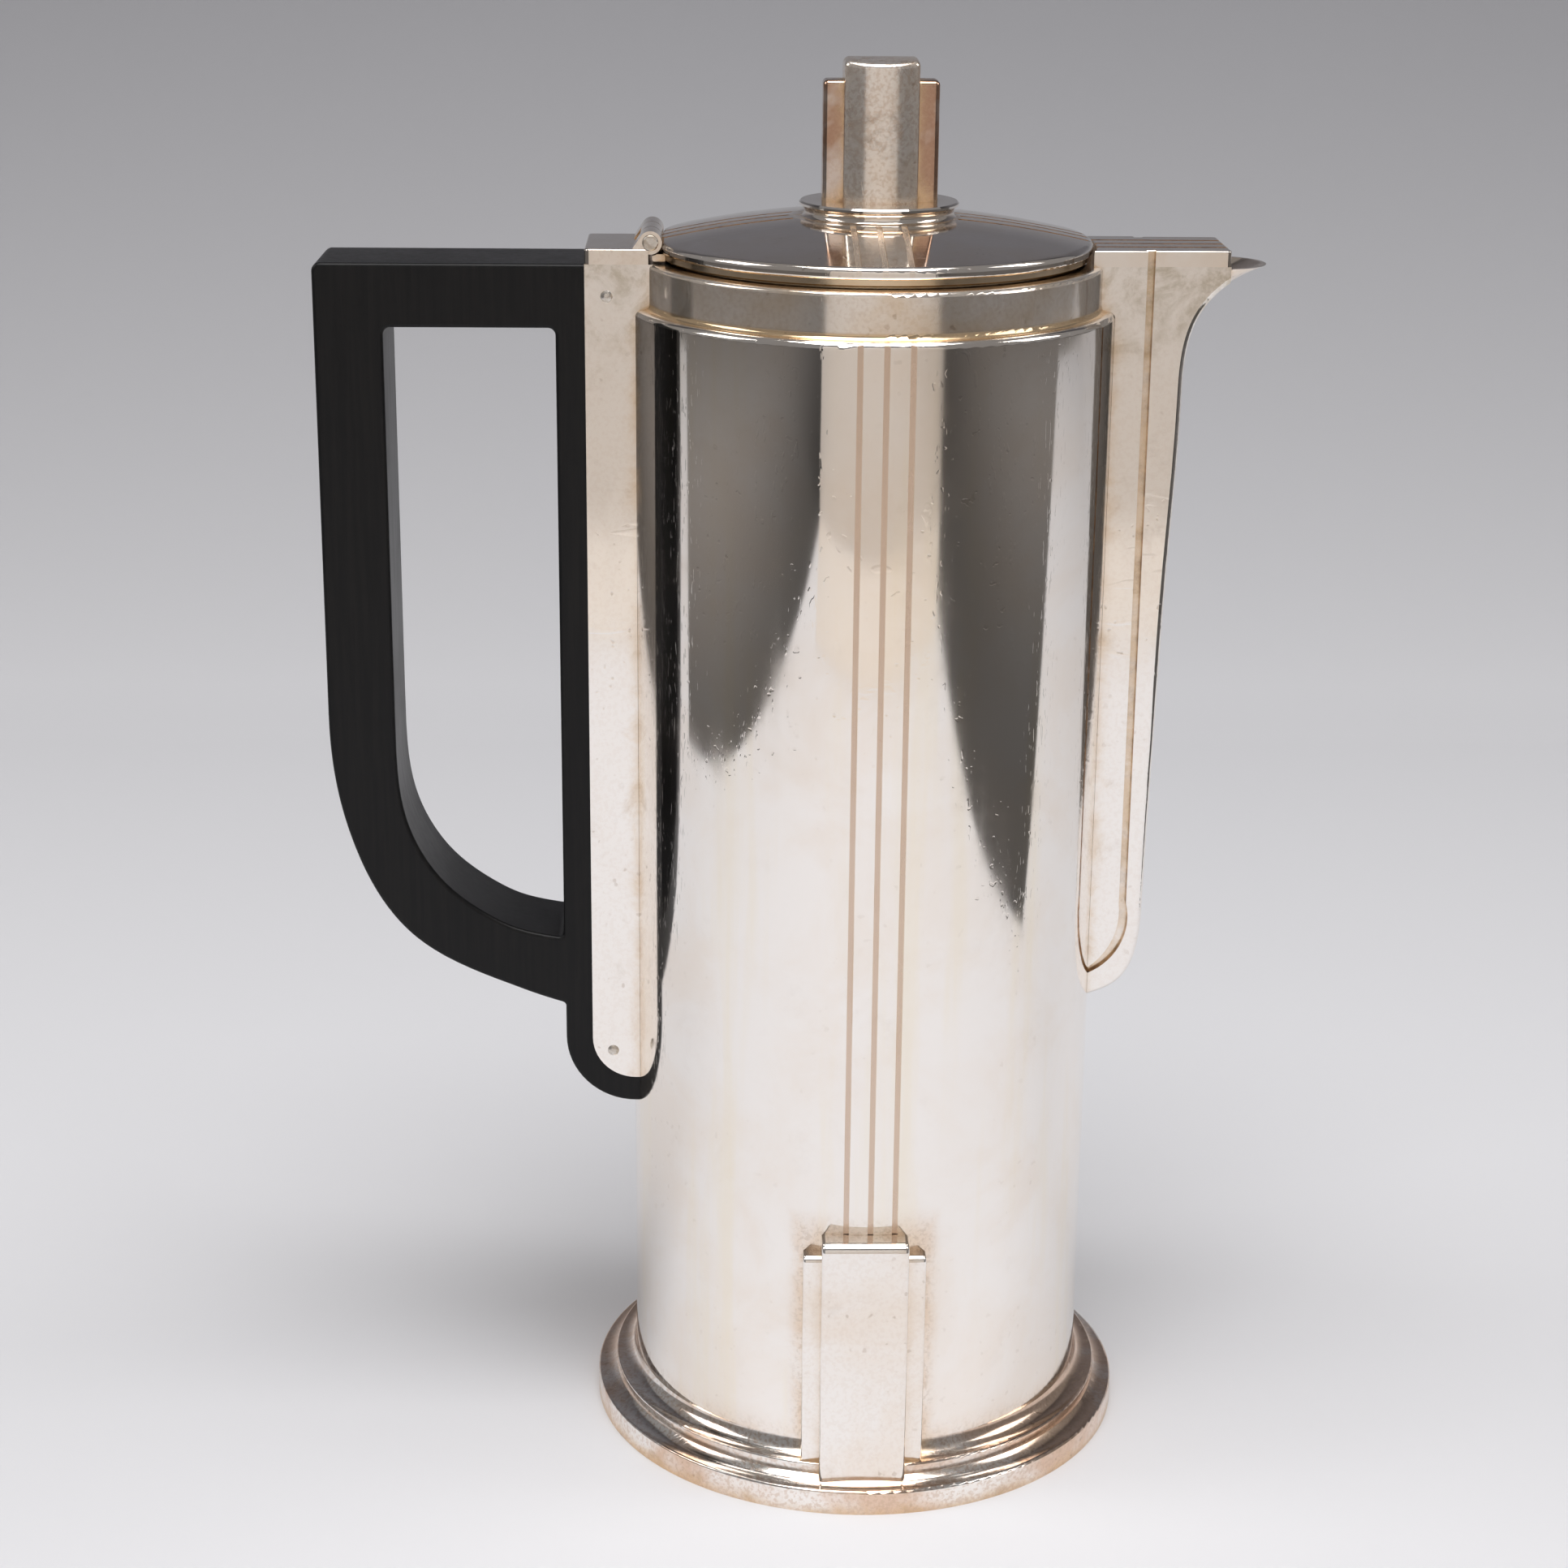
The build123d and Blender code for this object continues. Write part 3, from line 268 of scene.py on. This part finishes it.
# ------------------------------------------------------------------ materials of the pot
def silver(
    name,
    polish,
    film,
    tarnish,
    crevice,
    scratches=0.35,
    specks=0.3,
    stipple=0.0,
    yellowing=0.0,
    dulling=0.0,
    mottle_from=0.53,
    film_colour=WARM_FILM,
    lines=None,
    line_colour=TAN,
    stain=0.0,
    gold_below=None,
    halo=None,
):
    """Old silver.

    polish is the roughness of the clean metal and scratches the depth of its hairlines.  film is the
    share of warm film, tarnish of brown blotches, crevice of dirt in corners, specks of small dark
    pits, stipple of fine tan grains, yellowing of pale yellow streaks and dulling of the surface that
    has lost its shine.  The blotches start at the noise level mottle_from.  lines gives the mask of
    engraved lines and halo that of tarnish round fittings.  stain is the amount of olive mottling near
    the top, and gold_below the height up to which golden solder shows.
    """
    m = Nodes(name)
    x, y, z = m.coordinates()
    streaks = m.noise(9.0, 4.0, 0.6, stretch=(14, 14, 1))
    clouds = m.noise(38.0, 5.0, 0.62, distortion=0.4)
    spots = m.noise(420.0, 4.0, 0.65)
    grains = m.noise(1300.0, 3.0, 0.6)
    blotches = m.noise(85.0, 6.0, 0.7, distortion=0.6)
    corners = m.crevices(0.0045)
    # colour: clean silver, then warm film in clouds and towards the top, golden rims and brown spots
    high = m.remap(z, *FILM_RISE, 0.0, 0.25)
    warm = m.maths("MULTIPLY", m.maths("ADD", m.remap(clouds, 0.36, 0.70), high), film)
    warm = m.maths("MINIMUM", warm, 1.0)
    colour = m.mix(warm, SILVER, film_colour)
    rim_noise = m.remap(blotches, 0.3, 0.7, -0.16, 0.16)
    rim = m.remap(m.maths("ADD", corners, rim_noise), 0.17, 0.60, 0.0, crevice)
    colour = m.mix(rim, colour, GOLDEN)
    dirt_noise = m.remap(spots, 0.3, 0.7, -0.2, 0.2)
    dirt = m.remap(m.maths("ADD", corners, dirt_noise), 0.58, 0.95, 0.0, crevice)
    colour = m.mix(dirt, colour, BROWN)
    patches = m.remap(blotches, mottle_from, mottle_from + 0.19)
    mottle = m.maths("MULTIPLY", patches, m.remap(spots, 0.40, 0.60))
    colour = m.mix(m.maths("MULTIPLY", mottle, tarnish), colour, BROWN)
    if yellowing:
        runs = m.noise(4.0, 4.0, 0.6, stretch=(22, 22, 1.5))
        colour = m.mix(m.remap(runs, 0.50, 0.68, 0.0, yellowing), colour, STRAW)
    if halo is not None:
        near = halo(m, x, y, z)
        thinning = m.maths("POWER", near, 1.6)
        veil = m.maths("MULTIPLY", thinning, m.remap(blotches, 0.30, 0.62, 0.10, 0.60))
        colour = m.mix(veil, colour, VEIL)
        thinning = m.maths("POWER", near, 2.5)
        flecks = m.maths("MULTIPLY", thinning, m.remap(grains, 0.48, 0.62, 0.0, 0.22))
        colour = m.mix(flecks, colour, BROWN)
    if stipple:
        colour = m.mix(m.remap(grains, 0.47, 0.60, 0.0, stipple), colour, TAN)
    if stain:
        band = m.maths("MULTIPLY", m.remap(z, *PLATE_STAIN), m.remap(blotches, 0.42, 0.62, 0.0, stain))
        colour = m.mix(m.maths("MULTIPLY", band, m.remap(spots, 0.35, 0.55, 0.35, 1.0)), colour, OLIVE)
    if gold_below is not None:
        gold = m.remap(z, gold_below, gold_below + SOLDER_FADE, 1.0, 0.0)
        colour = m.mix(gold, colour, SOLDER)
    holes = m.remap(m.noise(650.0, 1.0, 0.4), 0.70, 0.76)
    pits = m.maths("MULTIPLY", holes, m.remap(clouds, 0.42, 0.62))
    colour = m.mix(m.maths("MULTIPLY", pits, specks), colour, BROWN)
    # polish: haze in streaks and clouds, duller where tarnished
    streaked = m.remap(streaks, 0.35, 0.75, 0.0, 0.05)
    haze = m.maths("ADD", streaked, m.remap(clouds, 0.45, 0.8, 0.0, 0.06))
    dull = m.maths("ADD", m.maths("MULTIPLY", rim, 0.16), m.maths("MULTIPLY", mottle, 0.25 * tarnish))
    rough = m.maths("ADD", m.maths("ADD", haze, dull), polish)
    if lines is not None:
        groove = lines(m, x, y, z)
        colour = m.mix(m.maths("MULTIPLY", groove, 0.75), colour, line_colour)
        rough = m.maths("ADD", rough, m.maths("MULTIPLY", groove, 0.18))
    m.join(colour, m.shader.inputs["Base Color"])
    m.join(rough, m.shader.inputs["Roughness"])
    # relief: hairline scratches three ways, pits and soft hand-planished waviness
    height = m.maths("MULTIPLY", pits, -2.0)
    for index, turn in enumerate(((0.2, 0.1, 0.5), (0.9, 0.4, 1.7), (1.5, 0.8, 2.6))):
        hairs = m.noise(60.0, 2.0, 0.5, stretch=(1, 40, 3 + index), turn=turn)
        height = m.maths("ADD", height, m.remap(hairs, 0.66, 0.72))
    fine = m.bump(height, scratches, 0.000012)
    waves = m.noise(26.0, 1.0, 0.4)
    m.join(m.bump(waves, 0.25, 0.00030, below=fine), m.shader.inputs["Normal"])
    m.shader.inputs["Metallic"].default_value = 1.0 - dulling
    return m.material


def gilt(name):
    """Smooth silver under an even golden tarnish."""
    m = Nodes(name)
    clouds = m.noise(45.0, 4.0, 0.6, distortion=0.5)
    spots = m.noise(500.0, 3.0, 0.6)
    colour = m.mix(m.remap(clouds, 0.35, 0.7), GILT_LIGHT, GILT_DEEP)
    corners = m.crevices(0.0015)
    colour = m.mix(m.remap(corners, 0.5, 0.98, 0.0, 0.6), colour, GILT_DIRT)
    m.join(colour, m.shader.inputs["Base Color"])
    m.join(m.remap(spots, 0.3, 0.7, 0.15, 0.22), m.shader.inputs["Roughness"])
    m.join(m.bump(spots, 0.08, 0.00002), m.shader.inputs["Normal"])
    m.shader.inputs["Metallic"].default_value = 1.0
    return m.material


def pin_metal(name):
    """Duller, pitted metal of the hinge pin and the rivets."""
    m = Nodes(name)
    spots = m.noise(900.0, 4.0, 0.6)
    colour = m.mix(m.remap(spots, 0.35, 0.7), PIN_LIGHT, PIN_DEEP)
    m.join(colour, m.shader.inputs["Base Color"])
    m.join(m.remap(spots, 0.3, 0.7, 0.22, 0.38), m.shader.inputs["Roughness"])
    m.join(m.bump(spots, 0.4, 0.00004), m.shader.inputs["Normal"])
    m.shader.inputs["Metallic"].default_value = 1.0
    return m.material


def ebony(name):
    """Black hardwood handle, rubbed satin, with faint grain along its length."""
    m = Nodes(name)
    grain = m.noise(260.0, 5.0, 0.65, stretch=(3.0, 3.0, 0.12))
    pores = m.noise(900.0, 2.0, 0.5, stretch=(2.2, 2.2, 0.15))
    clouds = m.noise(30.0, 4.0, 0.6)
    colour = m.mix(m.remap(grain, 0.35, 0.7), EBONY_DARK, EBONY_GRAIN)
    m.join(colour, m.shader.inputs["Base Color"])
    rough = m.maths("ADD", m.remap(grain, 0.3, 0.7, 0.31, 0.36), m.remap(clouds, 0.35, 0.7, 0.0, 0.07))
    m.join(rough, m.shader.inputs["Roughness"])
    relief = m.maths("ADD", grain, m.remap(pores, 0.30, 0.42, -0.6, 0.0))
    m.join(m.bump(relief, 0.14, 0.00005), m.shader.inputs["Normal"])
    m.shader.inputs["Specular IOR Level"].default_value = 0.22
    return m.material


# ------------------------------------------------------------------ studio
def painted_falloff(m, x, y, z):
    """Painted fall-off of light: 0 on the floor to 1 high up the paper, fast at first, so the paper's
    colour darkens with height.
    """
    root = m.maths("POWER", m.maths("ABSOLUTE", z), 0.5)
    return m.maths("DIVIDE", m.maths("SUBTRACT", root, 0.06), 0.65)


def painted_side_light(m, x, y, z):
    """Painted light: 0 in the middle of the table to 1 at its sides, sooner on the left, so the table's
    colour grows lighter towards the sides.
    """
    return m.remap(m.maths("MAXIMUM", m.maths("MULTIPLY", x, -1.25), x), 0.45, 1.3)


def matt(name, near, far=None, painted_light_mask=None):
    """Paper or card with fine fibre.  The optional mask paints light and shade into the colour, leading
    from the near colour to the far one.
    """
    m = Nodes(name)
    fibre = m.noise(700.0, 3.0, 0.6)
    if painted_light_mask is None:
        colour = m.mix(fibre, tuple(0.97 * c for c in near), near)
    else:
        colour = m.mix(painted_light_mask(m, *m.coordinates()), near, far)
    m.join(colour, m.shader.inputs["Base Color"])
    m.join(m.bump(fibre, 0.05, 0.00005), m.shader.inputs["Normal"])
    m.shader.inputs["Roughness"].default_value = 0.9
    m.shader.inputs["Specular IOR Level"].default_value = 0.15
    return m.material


def flat_panel(name, corners, material):
    mesh_object(name, corners, [tuple(range(len(corners)))], material, smooth=False)


def build_studio():
    # the paper darkens with height in its colour: painted fall-off of light
    paper = matt("paper_with_painted_falloff", PAPER_LOW, PAPER_PAINTED_SHADE, painted_falloff)
    flat_panel("floor", [(x, y, 0) for x, y in PAPER_OUTLINE], paper)
    # the sweep: bend and wall behind the pot
    radius = SWEEP_WALL - SWEEP_BEND
    path = [(SWEEP_BEND, 0.0)]
    for step in range(1, SWEEP_STEPS + 1):
        angle = math.pi / 2 * step / SWEEP_STEPS
        path.append((SWEEP_BEND + radius * math.sin(angle), radius * (1 - math.cos(angle))))
    path.append((SWEEP_WALL, SWEEP_TOP))
    vertices = []
    for y, z in path:
        vertices += [(-SWEEP_HALF_WIDTH, y, z), (SWEEP_HALF_WIDTH, y, z)]
    faces = [(2 * i, 2 * i + 1, 2 * i + 3, 2 * i + 2) for i in range(len(path) - 1)]
    mesh_object("backdrop", vertices, faces, paper)
    # the dark table round the paper, and a beige mat and card beyond the camera
    # the table's sides are painted lighter: painted light
    table = matt("dark_table", TABLE_MIDDLE, TABLE_SIDES_PAINTED_LIGHT, painted_side_light)
    signs = ((-1, -1), (1, -1), (1, 1), (-1, 1))
    flat_panel("table", [(x * TABLE_REACH, y * TABLE_REACH, -TABLE_DROP) for x, y in signs], table)
    card = matt("beige_card", CARD)
    flat_panel("mat", [(x, y, MAT_LIFT) for x, y in MAT_OUTLINE], card)
    flat_panel(
        "front_card",
        [
            (CARD_LEFT, CARD_Y, 0),
            (CARD_RIGHT, CARD_Y, 0),
            (CARD_RIGHT, CARD_Y, CARD_HEIGHT),
            (CARD_LEFT, CARD_Y, CARD_HEIGHT),
        ],
        card,
    )


def area_light(name, place, target, width, height, power):
    data = bpy.data.lights.new(name, "AREA")
    data.shape = "RECTANGLE"
    data.size = width
    data.size_y = height
    data.energy = power
    light = link(bpy.data.objects.new(name, data))
    light.location = place
    light.rotation_euler = (Vector(target) - Vector(place)).to_track_quat("-Z", "Y").to_euler()


def build_lights():
    for lamp in LAMPS:
        area_light(*lamp)
    world = bpy.data.worlds.new("room")
    world.use_nodes = True
    background = world.node_tree.nodes["Background"]
    background.inputs["Color"].default_value = (*ROOM, 1)
    background.inputs["Strength"].default_value = 1.0
    bpy.context.scene.world = world


def build_camera():
    forward = Vector(
        (
            math.sin(CAMERA_YAW) * math.cos(CAMERA_PITCH),
            math.cos(CAMERA_YAW) * math.cos(CAMERA_PITCH),
            math.sin(CAMERA_PITCH),
        )
    )
    level_right = Vector((math.cos(CAMERA_YAW), -math.sin(CAMERA_YAW), 0))
    level_up = level_right.cross(forward)
    right = math.cos(CAMERA_ROLL) * level_right + math.sin(CAMERA_ROLL) * level_up
    up = -math.sin(CAMERA_ROLL) * level_right + math.cos(CAMERA_ROLL) * level_up
    data = bpy.data.cameras.new("camera")
    data.lens = CAMERA_LENS
    data.sensor_width = CAMERA_SENSOR
    data.clip_start = CAMERA_NEAREST
    camera = link(bpy.data.objects.new("camera", data))
    turn = Matrix((right, up, -forward)).transposed()
    camera.matrix_world = Matrix.Translation(CAMERA_PLACE) @ turn.to_4x4()
    bpy.context.scene.camera = camera


# ------------------------------------------------------------------ finishes on the CAD nodes
def finish_nodes():
    body = silver(
        "polished_body",
        polish=0.045,
        film=0.45,
        tarnish=0.05,
        crevice=0.5,
        specks=0.12,
        yellowing=0.40,
        lines=body_lines,
        halo=body_halo,
    )
    fittings = silver("fitted_silver", polish=0.07, film=0.75, tarnish=0.12, crevice=0.9, stipple=0.12)
    pilaster = silver("pilaster_silver", polish=0.08, film=0.6, tarnish=0.08, crevice=0.4, stipple=0.10)
    plates = silver(
        "plate_silver",
        polish=0.06,
        film=0.12,
        tarnish=0.18,
        crevice=0.9,
        stipple=0.08,
        stain=0.55,
    )
    neck = silver(
        "hazy_neck",
        polish=0.10,
        film=0.9,
        tarnish=0.12,
        crevice=0.6,
        scratches=0.25,
        specks=0.4,
        stipple=0.20,
        dulling=0.15,
        film_colour=BEIGE_FILM,
        gold_below=NECK_SOLDER_TOP,
    )
    foot = silver(
        "worn_foot",
        polish=0.12,
        film=1.6,
        tarnish=0.3,
        crevice=1.0,
        scratches=0.3,
        specks=0.5,
        stipple=0.45,
        film_colour=ROSY_FILM,
    )
    top = silver(
        "lid_silver",
        polish=0.05,
        film=0.5,
        tarnish=0.10,
        crevice=0.8,
        lines=lid_lines,
        line_colour=PALE_LINE,
    )
    disc = silver("disc_silver", polish=0.05, film=0.4, tarnish=0.05, crevice=0.4)
    knob = silver(
        "knob_silver",
        polish=0.13,
        film=0.9,
        tarnish=0.6,
        crevice=0.5,
        specks=0.6,
        stipple=0.4,
        dulling=0.15,
        mottle_from=0.44,
    )
    knob_wings = silver(
        "knob_wing_silver",
        polish=0.14,
        film=1.6,
        tarnish=0.35,
        crevice=1.0,
        specks=0.4,
        stipple=0.3,
        film_colour=COPPER,
    )
    cap = silver("cap_silver", polish=0.08, film=0.8, tarnish=0.25, crevice=0.9, lines=cap_lines)
    golden = gilt("golden_seam")
    pin = pin_metal("pin_metal")
    handle = ebony("black_handle")
    finishes = {
        "body_shell": body,
        "neck_collar": neck,
        "lid_plate": top,
        "finial_base": disc,
        "finial_block": knob,
        "finial_wings": knob_wings,
        "foot_lower_ring": foot,
        "foot_upper_step": foot,
        "base_plate": foot,
        "front_pilaster": pilaster,
        "front_pilaster_wings": pilaster,
        "back_pilaster": pilaster,
        "back_pilaster_wings": pilaster,
        "handle_cheek_front": plates,
        "handle_cheek_back": plates,
        "spout_channel": plates,
        "spout_bracket_front": plates,
        "spout_bracket_back": plates,
        "spout_cap": cap,
        "mouth_ring": golden,
        "lid_bezel": golden,
        "hinge_pin": pin,
        "handle_rivets": pin,
        "handle": handle,
    }
    for name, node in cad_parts.items():
        node.data.materials.clear()
        node.data.materials.append(finishes.get(name, fittings))


build_camera()
build_studio()
build_lights()
finish_nodes()
bpy.context.scene.view_settings.view_transform = "Standard"
